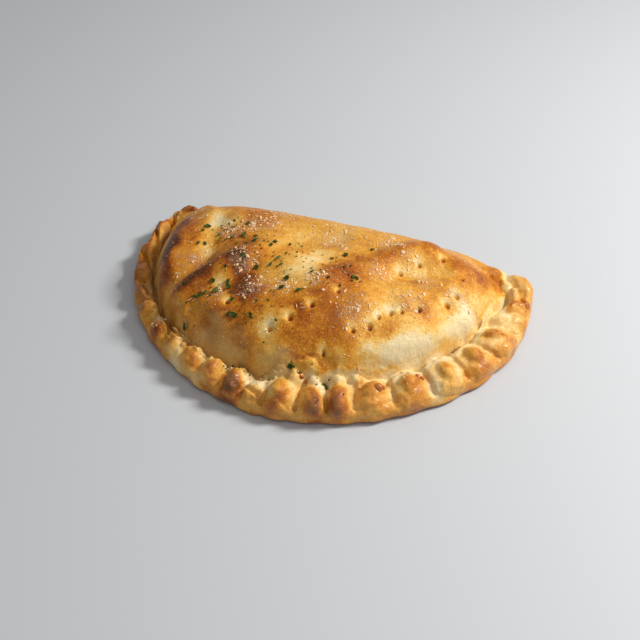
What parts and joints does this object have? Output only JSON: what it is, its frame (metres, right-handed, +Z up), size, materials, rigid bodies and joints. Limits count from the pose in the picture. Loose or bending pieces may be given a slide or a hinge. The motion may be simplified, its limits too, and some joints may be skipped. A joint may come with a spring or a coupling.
{
  "type": "calzone",
  "caption": "Whole baked calzone: a half moon of golden dough, folded along its straight back and domed over the filling, with a thick twisted crimp round the curved front.",
  "frame": {"origin": "middle of the underside: the middle of the bounding box in X and Y, on the surface it rests on", "axes": "+X along the fold towards the right tip, -Y towards the crimped front, +Z up through the dome"},
  "size_m": [0.248, 0.1554, 0.0477],
  "materials": {
    "baked_crust": "satin baked dough, golden brown on the tops and pale cream in the hollows, with an oiled gloss",
    "parsley": "matte dried leaf",
    "grated_cheese": "satin, slightly translucent grains",
    "baked_juice": "gloss red-brown drops baked out of the filling"
  },
  "bodies": {
    "root": {"calzone_dough": "baked_crust"}
  },
  "joints": []
}
